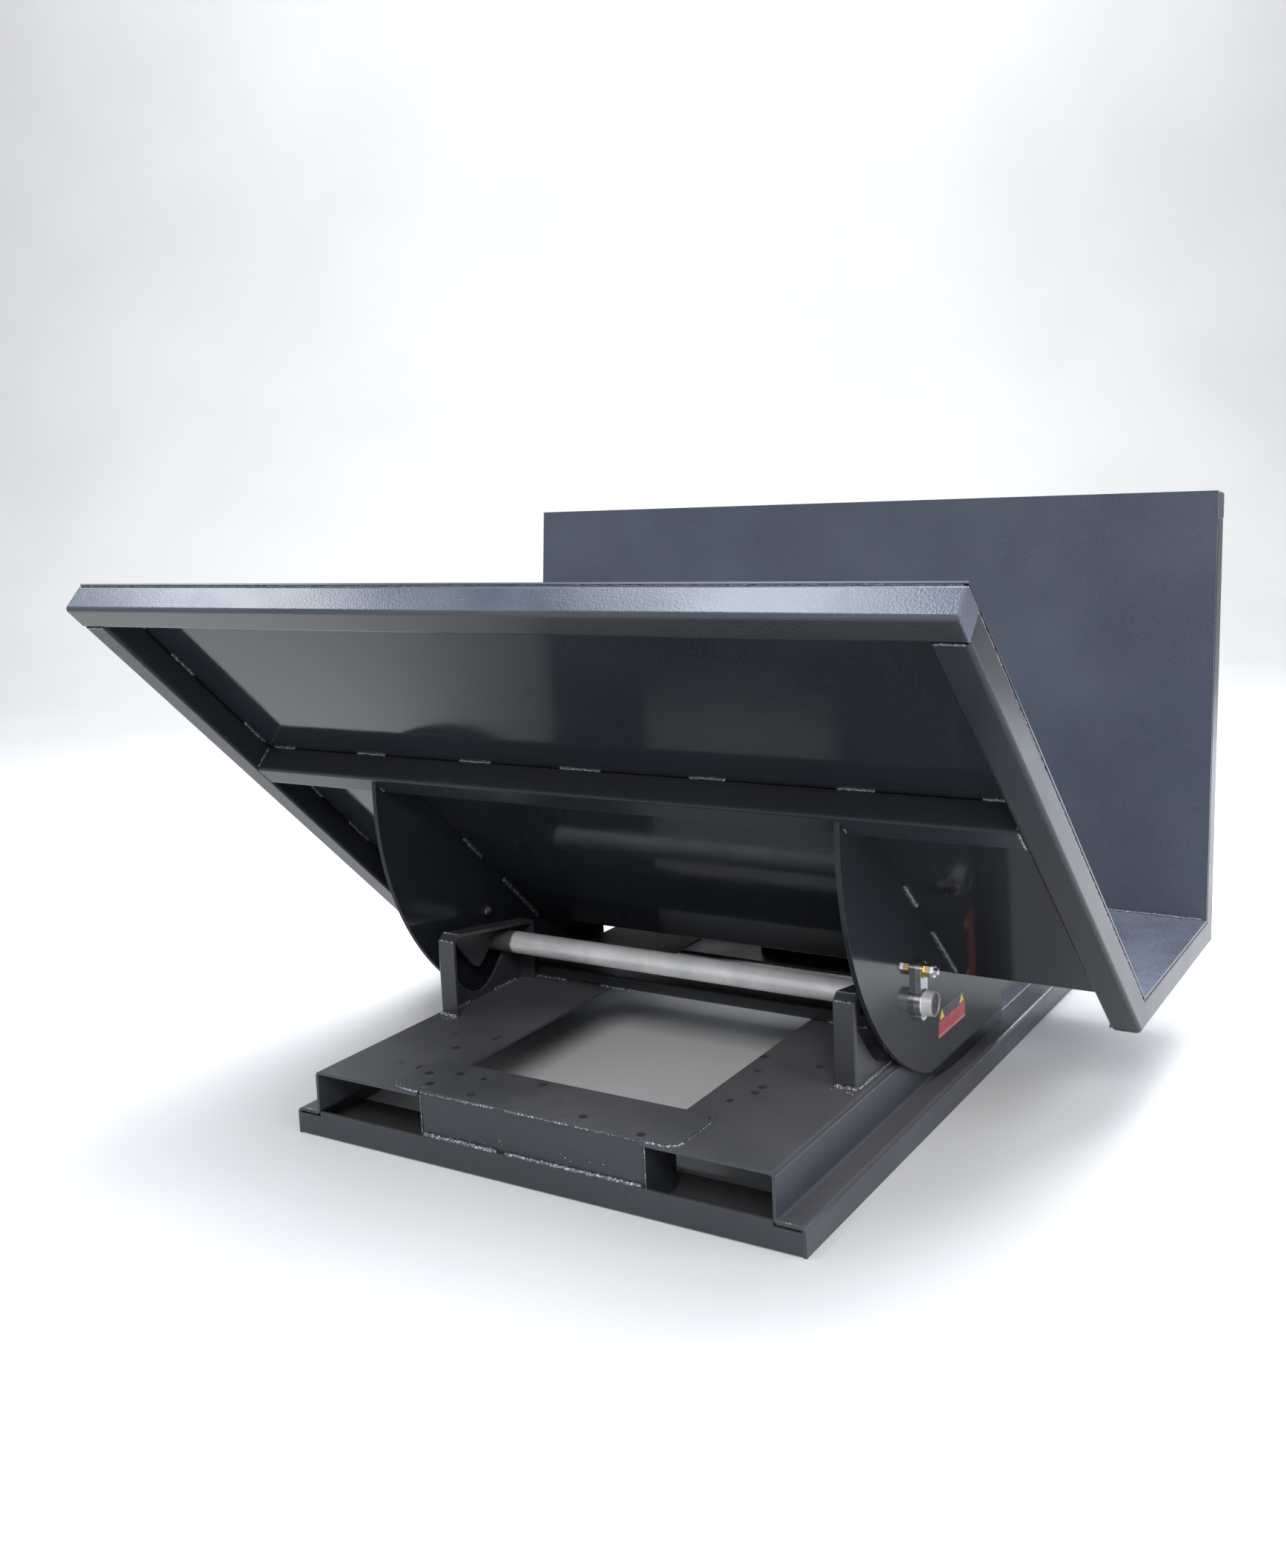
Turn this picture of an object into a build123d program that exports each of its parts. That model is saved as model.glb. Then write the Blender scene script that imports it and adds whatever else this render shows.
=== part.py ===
from build123d import *
import os
from math import sin, cos, radians, hypot, atan2, degrees

# Self-dumping forklift hopper on a rocker base: an open-ended steel tray
# (inclined apron, floor and back wall) on a square-tube frame, carried by two
# rocker plates that roll forward on the flanges of a fork-pocket base.
# X runs across, +Y towards the back wall, +Z up, millimetres. The working
# coordinates below count Y from the front lip of the base; every solid is
# shifted by Y_SHIFT at the end so that the origin lies under the middle of
# the whole object at floor level.

# ---------------------------------------------------------------- dimensions
# base
BASE_HALF = 480.0          # half width over the outer lips
WALL_HALF = 434.0          # half width over the pocket outer walls
DECK_IN = 213.0            # inner edge of each pocket deck
BASE_LEN = 1300.0
TRACK_Z = 45.0             # top of the rocker track flange
DECK_Z = 116.5             # top of the pocket deck
BT = 5.0                   # base sheet thickness
FLOOR_LEG = 150.0          # depth of the floor leg behind each lip
BRIDGE_X = 272.0           # half width of the bridge plates on the deck
BRIDGE_Y0, BRIDGE_Y1 = 5.0, 128.0
BRIDGE_T = 4.0
CHANNEL_X = 212.5          # outside of the bridge channel returns
CHANNEL_Y0, CHANNEL_Y1 = 8.0, 100.0
CROSS_Y0, CROSS_Y1, CROSS_H, CROSS_HALF = 577.0, 652.0, 23.5, 410.0

# tray: inner (load side) corner points in the Y-Z plane
P1 = (-118.1, 950.4)       # top edge of the apron
P2 = (677.0, 206.9)        # bend between apron and floor
P3 = (1136.7, 212.7)       # floor to back wall
P4 = (1222.2, 1017.9)      # top of the back wall
TRAY_HALF = 772.4
SHEET = 3.4
TUBE = 50.8
TUBE_WALL = 3.0
TUBE_R = 7.0
RIB_D = 481.0              # distance of the apron rib from the top edge
BACK_RIB_D = 380.0         # height of the back wall rib above the floor
UPRIGHT_X = 300.0          # uprights behind the back wall

# rocker plates
ROLL_R = 494.0
ARC_Y = 699.0              # centre of the rocker arc
ARC_Z = TRACK_Z + ROLL_R
ROCKER_X0, ROCKER_X1 = 443.0, 451.0
ROCKER_FRONT = ARC_Y - ROLL_R
ROCKER_BACK = 905.0

# pivot bar through rockers and stanchion slots
BAR_R = 21.1
BAR_WALL = 2.8
BAR_HALF = 481.0
PIN_D = 386.4              # bar axis distance from the arc centre
PIN_A = radians(31.48)     # its angle ahead of straight down
PIN = (ARC_Y - PIN_D * sin(PIN_A), ARC_Z - PIN_D * cos(PIN_A))
BOLT = (PIN[0], PIN[1] + 55.0)
LUG_T, LUG_W = 10.0, 30.0
FIT = 0.05                 # radial clearance of shafts in their bores

# stanchions
ST_X0, ST_X1 = 380.0, 418.0
ST_T = 6.0
ST_Y0, ST_Y1 = 317.0, 565.0
ST_TOP0, ST_TOP1 = 269.5, 234.5   # top height at the front and at the back
SLOT_HALF = 24.0
ROLL_MAX = 65.0            # degrees of forward roll

# latch at the back
HOOK_T = 12.0
HOOK_PIVOT = (1188.0, 232.0)
KEEPER = (1205.0, 158.0)
KEEPER_R = 10.0
LATCH_OPEN = 22.0          # the hook is stored swung clear by this angle

# foremost point: the rounded lower edge of the apron's top tube
A_LEN = hypot(P2[0] - P1[0], P2[1] - P1[1])
A_COS, A_SIN = (P2[0] - P1[0]) / A_LEN, (P1[1] - P2[1]) / A_LEN
Y_MIN = P1[0] + A_COS * TUBE_R - A_SIN * (SHEET + TUBE - TUBE_R) - TUBE_R
Y_SHIFT = -(BASE_LEN + Y_MIN) / 2.0

# ------------------------------------------------------------------- helpers
NODES = {}


def keep(name, shape):
    NODES[name] = shape


def add(a, b):
    return (a[0] + b[0], a[1] + b[1])


def mul(a, k):
    return (a[0] * k, a[1] * k)


def unit(a, b):
    length = hypot(b[0] - a[0], b[1] - a[1])
    return ((b[0] - a[0]) / length, (b[1] - a[1]) / length)


def yz_face(points):
    """Face in the Y-Z plane at x = 0 from (y, z) points."""
    return make_face(Polyline([(0, y, z) for y, z in points], close=True))


def prism(points, x0, x1):
    """Solid between x0 and x1 over a Y-Z polygon."""
    face = yz_face(points)
    return Pos(x0, 0, 0) * extrude(face, amount=x1 - x0, dir=(1, 0, 0))


def rod(y, z, r, x0, x1):
    """Round bar along X."""
    return Pos((x0 + x1) / 2, y, z) * Rot(0, 90, 0) * Cylinder(r, x1 - x0)


def block(x0, x1, y0, y1, z0, z1):
    return Pos((x0 + x1) / 2, (y0 + y1) / 2, (z0 + z1) / 2) * Box(x1 - x0, y1 - y0, z1 - z0)


def hexagon(y, z, flats, x0, x1):
    sk = Plane(origin=(x0, y, z), x_dir=(0, 1, 0), z_dir=(1, 0, 0)) * RegularPolygon(flats / 2, 6, major_radius=False)
    return extrude(sk, amount=x1 - x0)


def mirror_x(shape):
    return mirror(shape, about=Plane.YZ)


def one(shape):
    """The single solid of a result, or the compound when there are more."""
    s = shape.solids()
    return s[0] if len(s) == 1 else Compound(children=list(s))


def crossing(p, d, q, e):
    """Crossing of line p + t d with line q + s e."""
    det = d[0] * (-e[1]) + e[0] * d[1]
    rx, ry = q[0] - p[0], q[1] - p[1]
    t = (rx * (-e[1]) + e[0] * ry) / det
    return (p[0] + t * d[0], p[1] + t * d[1])


# directions along the three tray walls, and their outward normals
D1, D2, D3 = unit(P1, P2), unit(P2, P3), unit(P3, P4)
N1, N2, N3 = (D1[1], -D1[0]), (D2[1], -D2[0]), (D3[1], -D3[0])


def off1(s, n):
    return add(P1, add(mul(D1, s), mul(N1, n)))


def off2(s, n):
    return add(P2, add(mul(D2, s), mul(N2, n)))


def off3(s, n):
    return add(P3, add(mul(D3, s), mul(N3, n)))


L1, L2, L3 = hypot(P2[0] - P1[0], P2[1] - P1[1]), hypot(P3[0] - P2[0], P3[1] - P2[1]), hypot(P4[0] - P3[0], P4[1] - P3[1])


def corner12(n):
    return crossing(off1(0, n), D1, off2(0, n), D2)


def corner23(n):
    return crossing(off2(0, n), D2, off3(0, n), D3)


OUT = SHEET + TUBE


def cross_tube(section_origin, along, normal, x0, x1, closed=False):
    """Square tube along X. section_origin is one corner of its section."""
    cy = section_origin[0] + (along[0] + normal[0]) * TUBE / 2
    cz = section_origin[1] + (along[1] + normal[1]) * TUBE / 2
    pl = Plane(origin=(x0, cy, cz), x_dir=(0, along[0], along[1]), z_dir=(1, 0, 0))
    outer = extrude(pl * RectangleRounded(TUBE, TUBE, TUBE_R), amount=x1 - x0)
    inner = extrude(pl * RectangleRounded(TUBE - 2 * TUBE_WALL, TUBE - 2 * TUBE_WALL, TUBE_R - TUBE_WALL), amount=x1 - x0)
    return one(outer - inner)


def side_tube(origin, along, normal, length, trim, x_in, x_out):
    """Square tube along a tray wall, trimmed to a Y-Z polygon."""
    cy, cz = origin[0] + normal[0] * TUBE / 2, origin[1] + normal[1] * TUBE / 2
    pl = Plane(origin=((x_in + x_out) / 2, cy, cz), x_dir=(1, 0, 0), z_dir=(0, along[0], along[1]))
    outer = extrude(pl * RectangleRounded(TUBE, TUBE, TUBE_R), amount=length)
    inner = extrude(pl * RectangleRounded(TUBE - 2 * TUBE_WALL, TUBE - 2 * TUBE_WALL, TUBE_R - TUBE_WALL), amount=length)
    return one((outer - inner) & prism(trim, x_in - 5, x_out + 5))


# ---------------------------------------------------------------------- base
def side_channel():
    pts = [(DECK_IN, DECK_Z), (WALL_HALF, DECK_Z), (WALL_HALF, TRACK_Z), (BASE_HALF, TRACK_Z), (BASE_HALF, 0),
           (BASE_HALF - BT, 0), (BASE_HALF - BT, TRACK_Z - BT), (WALL_HALF - BT, TRACK_Z - BT),
           (WALL_HALF - BT, DECK_Z - BT), (DECK_IN, DECK_Z - BT)]
    face = make_face(Polyline([(x, 0, z) for x, z in pts], close=True))
    body = extrude(face, amount=BASE_LEN, dir=(0, 1, 0))

    def bend(x, z, r):
        nonlocal body
        e = [e for e in body.edges() if abs(e.center().X - x) < 0.1 and abs(e.center().Z - z) < 0.1 and e.length > BASE_LEN - 1]
        body = fillet(e, r)
    bend(WALL_HALF, DECK_Z, 9.0)
    bend(WALL_HALF - BT, DECK_Z - BT, 4.0)
    bend(WALL_HALF, TRACK_Z, 4.0)
    bend(WALL_HALF - BT, TRACK_Z - BT, 9.0)
    bend(BASE_HALF, TRACK_Z, 9.0)
    bend(BASE_HALF - BT, TRACK_Z - BT, 4.0)
    return one(body)


channel = side_channel()
keep("base_side_channel_right", channel)
keep("base_side_channel_left", one(mirror_x(channel)))


def end_lip():
    """Lip across the end of the base with its floor leg, front end form."""
    lip = block(-(WALL_HALF - BT - 0.0), WALL_HALF - BT, 0, BT, 0, TRACK_Z)
    lip += block(-(BASE_HALF - BT), BASE_HALF - BT, 0, BT, 0, TRACK_Z - BT - 4.0)
    lip += block(-(BASE_HALF - BT), BASE_HALF - BT, 0, FLOOR_LEG, 0, BT)
    e = [e for e in lip.edges() if abs(e.center().Y) < 0.1 and abs(e.center().Z) < 0.1]
    lip = fillet(e, 4.0)
    return one(lip)


def end_channel():
    """Upright web between the pockets with its two returns, front end form."""
    web = block(-CHANNEL_X, CHANNEL_X, CHANNEL_Y0, CHANNEL_Y1, BT, DECK_Z)
    web -= block(-CHANNEL_X + BT, CHANNEL_X - BT, CHANNEL_Y0 + BT, CHANNEL_Y1 + 1, 0, DECK_Z + 1)
    e = [e for e in web.edges() if e.length > DECK_Z - BT - 1 and abs(abs(e.center().X) - CHANNEL_X) < 0.1 and abs(e.center().Y - CHANNEL_Y0) < 0.1]
    web = fillet(e, 6.0)
    return one(web)


def end_plate():
    """Plate with rounded corners tying the two decks together."""
    sk = Pos(0, (BRIDGE_Y0 + BRIDGE_Y1) / 2, DECK_Z) * RectangleRounded(2 * BRIDGE_X, BRIDGE_Y1 - BRIDGE_Y0, 24.0)
    return one(extrude(sk, amount=BRIDGE_T))


def to_rear(shape):
    return one(mirror(shape, about=Plane(origin=(0, BASE_LEN / 2, 0), z_dir=(0, 1, 0))))


keep("front_lip", end_lip())
keep("rear_lip", to_rear(end_lip()))
keep("front_bridge_channel", end_channel())
keep("rear_bridge_channel", to_rear(end_channel()))
keep("front_bridge_plate", end_plate())
keep("rear_bridge_plate", to_rear(end_plate()))

# flat tube across the decks behind the stanchions
cross_pl = Plane(origin=(-CROSS_HALF, (CROSS_Y0 + CROSS_Y1) / 2, DECK_Z + CROSS_H / 2), x_dir=(0, 1, 0), z_dir=(1, 0, 0))
cross = extrude(cross_pl * RectangleRounded(CROSS_Y1 - CROSS_Y0, CROSS_H, 5.0), amount=2 * CROSS_HALF)
cross -= extrude(cross_pl * RectangleRounded(CROSS_Y1 - CROSS_Y0 - 8, CROSS_H - 8, 1.5), amount=2 * CROSS_HALF)
keep("deck_cross_tube", one(cross))


# ----------------------------------------------------------------- stanchion
def bar_at(theta):
    """Bar axis in base coordinates after rolling forward by theta (radians)."""
    a = PIN_A - theta
    return (ARC_Y - ROLL_R * theta - PIN_D * sin(a), ARC_Z - PIN_D * cos(a))


def bar_dir(theta):
    a = PIN_A - theta
    dy, dz = -ROLL_R + PIN_D * cos(a), -PIN_D * sin(a)
    m = hypot(dy, dz)
    return (dy / m, dz / m)


def slot_cut(x0, x1):
    t0, t1 = radians(-1.0), radians(ROLL_MAX + 1.0)
    n = 22
    front, back = [], []
    for i in range(n + 1):
        t = t0 + (t1 - t0) * i / n
        c, d = bar_at(t), bar_dir(t)
        nf = (d[1], -d[0])
        front.append(add(c, mul(nf, SLOT_HALF)))
        back.append(add(c, mul(nf, -SLOT_HALF)))
    c0, d0 = bar_at(t0), bar_dir(t0)
    c1, d1 = bar_at(t1), bar_dir(t1)
    tip0 = add(c0, mul(d0, -SLOT_HALF))
    tip1 = add(c1, mul(d1, SLOT_HALF))

    def v(p):
        return (0, p[0], p[1])
    edges = [Spline([v(p) for p in front]), ThreePointArc(v(front[-1]), v(tip1), v(back[-1])),
             Spline([v(p) for p in reversed(back)]), ThreePointArc(v(back[0]), v(tip0), v(front[0]))]
    face = make_face(edges)
    return Pos(x0, 0, 0) * extrude(face, amount=x1 - x0, dir=(1, 0, 0))


def stanchion():
    slope = (ST_TOP1 - ST_TOP0) / (ST_Y1 - (ST_Y0 + 14.0))
    outline = [(ST_Y0, DECK_Z), (ST_Y1, DECK_Z), (ST_Y1, ST_TOP1), (ST_Y0 + 14.0, ST_TOP0), (ST_Y0, ST_TOP0 - 11.5)]
    y0, y1 = ST_Y0 + ST_T, ST_Y1 - ST_T
    inner = [(y0, DECK_Z - 10), (y1, DECK_Z - 10), (y1, ST_TOP1 - slope * 6 - ST_T * 1.05), (y0 + 10.0, ST_TOP0 - 2 * slope * 0 - ST_T * 1.05 - 0.2), (y0, ST_TOP0 - 14.5)]
    body = prism(outline, ST_X0, ST_X1)
    e = [e for e in body.edges() if abs(e.center().X - ST_X1) < 0.1 and e.center().Z > DECK_Z + 5]
    body = fillet(e, 5.0)
    body -= prism(inner, ST_X0 - 1, ST_X1 - ST_T)
    body -= slot_cut(ST_X1 - ST_T - 2, ST_X1 + 2)
    return one(body)


post = stanchion()
keep("stanchion_right", post)
keep("stanchion_left", one(mirror_x(post)))

# ---------------------------------------------------------------------- tray
# apron and floor from one bent sheet
c0, cS = P2, corner12(SHEET)
f_end_in = crossing(P2, D2, off3(0, SHEET), D3)
f_end_out = corner23(SHEET)
sheet_pts = [P1, P2, f_end_in, f_end_out, cS, off1(0, SHEET)]
tray = prism(sheet_pts, -TRAY_HALF, TRAY_HALF)
e = [e for e in tray.edges() if e.length > 2 * TRAY_HALF - 1 and hypot(e.center().Y - P2[0], e.center().Z - P2[1]) < 0.5]
tray = fillet(e, 6.0)
e = [e for e in tray.edges() if e.length > 2 * TRAY_HALF - 1 and hypot(e.center().Y - cS[0], e.center().Z - cS[1]) < 0.5]
tray = fillet(e, 9.4)
keep("apron_floor_sheet", one(tray))
keep("back_sheet", one(prism([P3, f_end_in, off3(L3, SHEET), P4], -TRAY_HALF, TRAY_HALF)))

X_IN = TRAY_HALF - TUBE

# apron frame
keep("apron_top_tube", cross_tube(off1(0, SHEET), D1, N1, -TRAY_HALF + 3.0, TRAY_HALF - 3.0))
cap_pl = Plane(origin=(TRAY_HALF - 3.0, off1(TUBE / 2, SHEET + TUBE / 2)[0], off1(TUBE / 2, SHEET + TUBE / 2)[1]), x_dir=(0, D1[0], D1[1]), z_dir=(1, 0, 0))
cap = extrude(cap_pl * RectangleRounded(TUBE, TUBE, TUBE_R), amount=3.0)
e = [e for e in cap.edges() if abs(e.center().X - TRAY_HALF) < 0.1]
cap = one(fillet(e, 2.0))
keep("apron_tube_end_caps", Compound(children=[cap, one(mirror_x(cap))]))
trim1 = [off1(TUBE, SHEET - 1), off1(TUBE, OUT + 1), add(corner12(OUT + 1), (0, 0)), corner12(SHEET - 1)]
st1 = side_tube(off1(0, SHEET), D1, N1, L1 + 80, trim1, X_IN, TRAY_HALF)
keep("apron_side_tube_right", st1)
keep("apron_side_tube_left", one(mirror_x(st1)))
keep("apron_rib_tube", cross_tube(off1(RIB_D, SHEET), D1, N1, -X_IN, X_IN))

# floor frame
trim2 = [corner12(SHEET - 1), corner12(OUT + 1), corner23(OUT + 1), corner23(SHEET - 1)]
st2 = side_tube(off2(-80, SHEET), D2, N2, L2 + 160, trim2, X_IN, TRAY_HALF)
keep("floor_side_tube_right", st2)
keep("floor_side_tube_left", one(mirror_x(st2)))
keep("floor_rear_tube", cross_tube(off2(L2 + SHEET - TUBE, SHEET), D2, N2, -X_IN, X_IN))

# back frame
trim3 = [corner23(SHEET - 1), corner23(OUT + 1), off3(L3 - TUBE, OUT + 1), off3(L3 - TUBE, SHEET - 1)]
st3 = side_tube(off3(-80, SHEET), D3, N3, L3 + 80, trim3, X_IN, TRAY_HALF)
keep("back_side_tube_right", st3)
keep("back_side_tube_left", one(mirror_x(st3)))
keep("back_top_tube", cross_tube(off3(L3 - TUBE, SHEET), D3, N3, -TRAY_HALF + 3.0, TRAY_HALF - 3.0))
capb_c = off3(L3 - TUBE / 2, SHEET + TUBE / 2)
capb_pl = Plane(origin=(TRAY_HALF - 3.0, capb_c[0], capb_c[1]), x_dir=(0, D3[0], D3[1]), z_dir=(1, 0, 0))
capb = extrude(capb_pl * RectangleRounded(TUBE, TUBE, TUBE_R), amount=3.0)
e = [e for e in capb.edges() if abs(e.center().X - TRAY_HALF) < 0.1]
capb = one(fillet(e, 2.0))
keep("back_tube_end_caps", Compound(children=[capb, one(mirror_x(capb))]))
# two uprights behind the back wall, with the rib between them in three lengths
trim4 = [off3(3, SHEET - 1), off3(3, OUT + 1), off3(L3 - TUBE, OUT + 1), off3(L3 - TUBE, SHEET - 1)]
upright = side_tube(off3(-80, SHEET), D3, N3, L3 + 80, trim4, UPRIGHT_X - TUBE / 2, UPRIGHT_X + TUBE / 2)
keep("back_uprights", Compound(children=[upright, one(mirror_x(upright))]))
foot_cap = prism([off3(0, SHEET), off3(0, OUT), off3(3, OUT), off3(3, SHEET)], UPRIGHT_X - TUBE / 2, UPRIGHT_X + TUBE / 2)
keep("back_upright_caps", Compound(children=[foot_cap, one(mirror_x(foot_cap))]))
rib_mid = cross_tube(off3(BACK_RIB_D, SHEET), D3, N3, -UPRIGHT_X + TUBE / 2, UPRIGHT_X - TUBE / 2)
rib_end = cross_tube(off3(BACK_RIB_D, SHEET), D3, N3, UPRIGHT_X + TUBE / 2, X_IN)
keep("back_rib_tubes", Compound(children=[rib_mid, rib_end, one(mirror_x(rib_end))]))


# ------------------------------------------------------------------- rockers
def rocker():
    s_rib = RIB_D + TUBE
    # where the front edge meets the underside of the rib
    a = off1(0, OUT)
    s_front = (ROCKER_FRONT - a[0]) / D1[0]
    top = off1(s_front, OUT)
    s_back = (ROCKER_BACK - off2(0, SHEET)[0]) / D2[0]
    back_top = off2(s_back, SHEET)
    mid = (ARC_Y - ROLL_R * sin(radians(45)), ARC_Z - ROLL_R * cos(radians(45)))

    def v(p):
        return (0, p[0], p[1])
    edges = [ThreePointArc(v((ARC_Y, TRACK_Z)), v(mid), v((ROCKER_FRONT, ARC_Z))),
             Polyline([v((ROCKER_FRONT, ARC_Z)), v(top), v(off1(s_rib, OUT)), v(off1(s_rib, SHEET)), v(corner12(SHEET)),
                       v(back_top), v((ROCKER_BACK, TRACK_Z)), v((ARC_Y, TRACK_Z))])]
    body = Pos(ROCKER_X0, 0, 0) * extrude(make_face(edges), amount=ROCKER_X1 - ROCKER_X0, dir=(1, 0, 0))
    body -= rod(PIN[0], PIN[1], BAR_R + FIT, ROCKER_X0 - 1, ROCKER_X1 + 1)
    body -= rod(BOLT[0], BOLT[1], 6.5, ROCKER_X0 - 1, ROCKER_X1 + 1)
    return one(body)


rk = rocker()
keep("rocker_plate_right", rk)
keep("rocker_plate_left", one(mirror_x(rk)))

# ----------------------------------------------------------------- pivot bar
bar = rod(PIN[0], PIN[1], BAR_R, -BAR_HALF, BAR_HALF) - rod(PIN[0], PIN[1], BAR_R - BAR_WALL, -BAR_HALF - 1, BAR_HALF + 1)
bar = chamfer([e for e in bar.edges() if abs(abs(e.center().X) - BAR_HALF) < 0.1 and e.length > 6.28 * (BAR_R - 1)], 1.0)
keep("pivot_bar", one(bar))
plug = rod(PIN[0], PIN[1], BAR_R - BAR_WALL - FIT, BAR_HALF - 10, BAR_HALF - 2)
plug = one(chamfer([e for e in plug.edges() if abs(e.center().X - (BAR_HALF - 2)) < 0.1], 1.0))
keep("pivot_bar_end_plugs", Compound(children=[plug, one(mirror_x(plug))]))


def lug():
    x0, x1 = ROCKER_X1, ROCKER_X1 + LUG_T
    y, z = PIN
    w = LUG_W / 2
    strap = prism([(y - w, BOLT[1]), (y - w, z - 22.0), (y - w + 8, z - 29.5), (y + w - 8, z - 29.5), (y + w, z - 22.0), (y + w, BOLT[1])], x0, x1)
    body = strap + rod(BOLT[0], BOLT[1], w, x0, x1) + rod(y, z, BAR_R + 3.0, x0, x1)
    body -= rod(y, z, BAR_R + FIT, x0 - 1, x1 + 1)
    body -= rod(BOLT[0], BOLT[1], 6.5, x0 - 1, x1 + 1)
    return one(body)


lg = lug()
keep("bar_lug_right", lg)
keep("bar_lug_left", one(mirror_x(lg)))

xh = ROCKER_X1 + LUG_T


def lug_bolt():
    b = hexagon(BOLT[0], BOLT[1], 19.0, ROCKER_X0 - 7.5, ROCKER_X0)
    b += rod(BOLT[0], BOLT[1], 6.0, ROCKER_X0 - 1, xh + 25.0)
    b = chamfer([e for e in b.edges() if abs(e.center().X - (xh + 25.0)) < 0.1], 1.2)
    return one(b)


def ring(y, z, ro, ri, x0, x1):
    return one(rod(y, z, ro, x0, x1) - rod(y, z, ri, x0 - 1, x1 + 1))


def nut(x0, x1):
    return one(hexagon(BOLT[0], BOLT[1], 19.0, x0, x1) - rod(BOLT[0], BOLT[1], 6.0 + FIT, x0 - 1, x1 + 1))


def pair(shape):
    return Compound(children=[shape, one(mirror_x(shape))])


keep("lug_bolts", pair(lug_bolt()))
keep("lug_washers", pair(ring(BOLT[0], BOLT[1], 13.0, 6.5, xh, xh + 2.5)))
keep("lug_nuts", pair(nut(xh + 2.5, xh + 12.5)))
keep("lug_lock_nuts", pair(nut(xh + 13.0, xh + 19.0)))

# thin sticker on the outside of each rocker, no lettering
decal = block(ROCKER_X1, ROCKER_X1 + 0.4, 583, 710, 116, 166)
decal = one(fillet([e for e in decal.edges().filter_by(Axis.X)], 2.0))
keep("rocker_stickers", pair(decal))

# --------------------------------------------------------------- rear latch
hy, hz = HOOK_PIVOT


def swing(shape):
    """From the closed to the stored, released position."""
    return Pos(0, hy, hz) * Rot(-LATCH_OPEN, 0, 0) * Pos(0, -hy, -hz) * shape


# ears on the back of the tray
ear_pts = [off3(2.0, SHEET), (hy + 4.0, hz - 17.0), (hy + 17.0, hz - 4.0), (hy + 17.0, hz + 8.0), (hy + 8.0, hz + 17.0), off3(74.0, SHEET)]
ear = prism(ear_pts, 14.0, 20.0) - rod(hy, hz, 8.0 + FIT, 10, 25)
ear = one(ear)
keep("latch_ears", pair(ear))
pin = rod(hy, hz, 8.0, -26.0, 26.0) + rod(hy, hz, 11.0, -30.0, -26.0)
pin -= block(21.5, 24.5, hy - 1.6, hy + 1.6, hz - 20, hz + 20)
keep("latch_pivot_pin", one(pin))
ringpin = rod(hy, hz, 11.5, 20.3, 22.8) - rod(hy, hz, 8.0 + FIT, 20, 23)
keep("latch_pin_collar", one(Pos(0.0, 0, 0) * ringpin))

ky, kz = KEEPER
hook_pts = [(hy - 13, hz + 13), (hy + 13, hz + 13), (hy + 13, hz - 14), (ky - KEEPER_R - 1.0, kz + 14), (ky - KEEPER_R - 1.0, kz - KEEPER_R - 1.0),
            (ky + 9.0, kz - KEEPER_R - 1.0), (ky + 9.0, kz - KEEPER_R - 9.0), (ky - 6.0, kz - KEEPER_R - 15.0), (ky - KEEPER_R - 21.0, kz - KEEPER_R - 13.0),
            (ky - KEEPER_R - 24.0, kz - KEEPER_R), (hy - 15, hz - 30), (hy - 15, hz)]
hook = prism(hook_pts, -HOOK_T / 2, HOOK_T / 2)
hook -= rod(hy, hz, 8.0 + FIT, -10, 10)
keep("latch_hook", one(swing(hook)))

# release handle: rod welded to the hook, parallel to the back wall when latched
hd = (D3[0], D3[1])
h_len = 178.0
base_pt = add(HOOK_PIVOT, mul(hd, 11.0))
rod_pl = Plane(origin=(0, base_pt[0], base_pt[1]), z_dir=(0, hd[0], hd[1]))
foot = prism([(hy - 11, hz + 13), (hy + 13, hz + 13), add((hy + 9, hz), mul(hd, 34)), add((hy - 7, hz), mul(hd, 34))], -HOOK_T / 2, HOOK_T / 2)
top_pl = Plane(origin=(0, *add(HOOK_PIVOT, mul(hd, 34.0))), z_dir=(0, hd[0], hd[1]))
lever = foot + extrude(top_pl * Circle(7.0), amount=h_len - 34.0)
keep("latch_lever", one(swing(lever)))
grip_pl = Plane(origin=(0, *add(HOOK_PIVOT, mul(hd, 82.0))), z_dir=(0, hd[0], hd[1]))
grip = extrude(grip_pl * Circle(12.0), amount=100.0)
grip = fillet(grip.edges(), 4.0)
bore_pl = Plane(origin=(0, *add(HOOK_PIVOT, mul(hd, 60.0))), z_dir=(0, hd[0], hd[1]))
grip -= extrude(bore_pl * Circle(7.0), amount=h_len - 60.0)
keep("latch_grip", one(swing(grip)))

# keeper on the rear bridge plate
zt = DECK_Z + BRIDGE_T
kear = prism([(ky - 18, zt), (ky + 18, zt), (ky + 18, kz + 4), (ky + 8, kz + 16), (ky - 8, kz + 16), (ky - 18, kz + 4)], 24.0, 32.0)
kear -= rod(ky, kz, KEEPER_R + FIT, 20, 40)
keep("keeper_ears", pair(one(kear)))
keep("keeper_pin", one(rod(ky, kz, KEEPER_R, -36.0, 36.0)))

# blocks under the two tracks that follow the line of contact as the tray rolls
runner = block(444.0, 460.0, ARC_Y - 10.0, ARC_Y + 10.0, 27.0, 38.0)
keep("roll_followers", pair(one(fillet(runner.edges(), 2.0))))

# -------------------------------------------------------------------- export
os.makedirs("parts", exist_ok=True)
for name, shape in NODES.items():
    moved = Pos(0, Y_SHIFT, 0) * shape
    moved.label = name
    export_step(moved, "parts/" + name + ".step")
print(len(NODES), "nodes, Y_SHIFT", Y_SHIFT, "PIN", PIN, "BOLT", BOLT)
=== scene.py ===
import math
import random

import bpy
import bmesh
from mathutils import Matrix, Vector, noise


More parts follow.
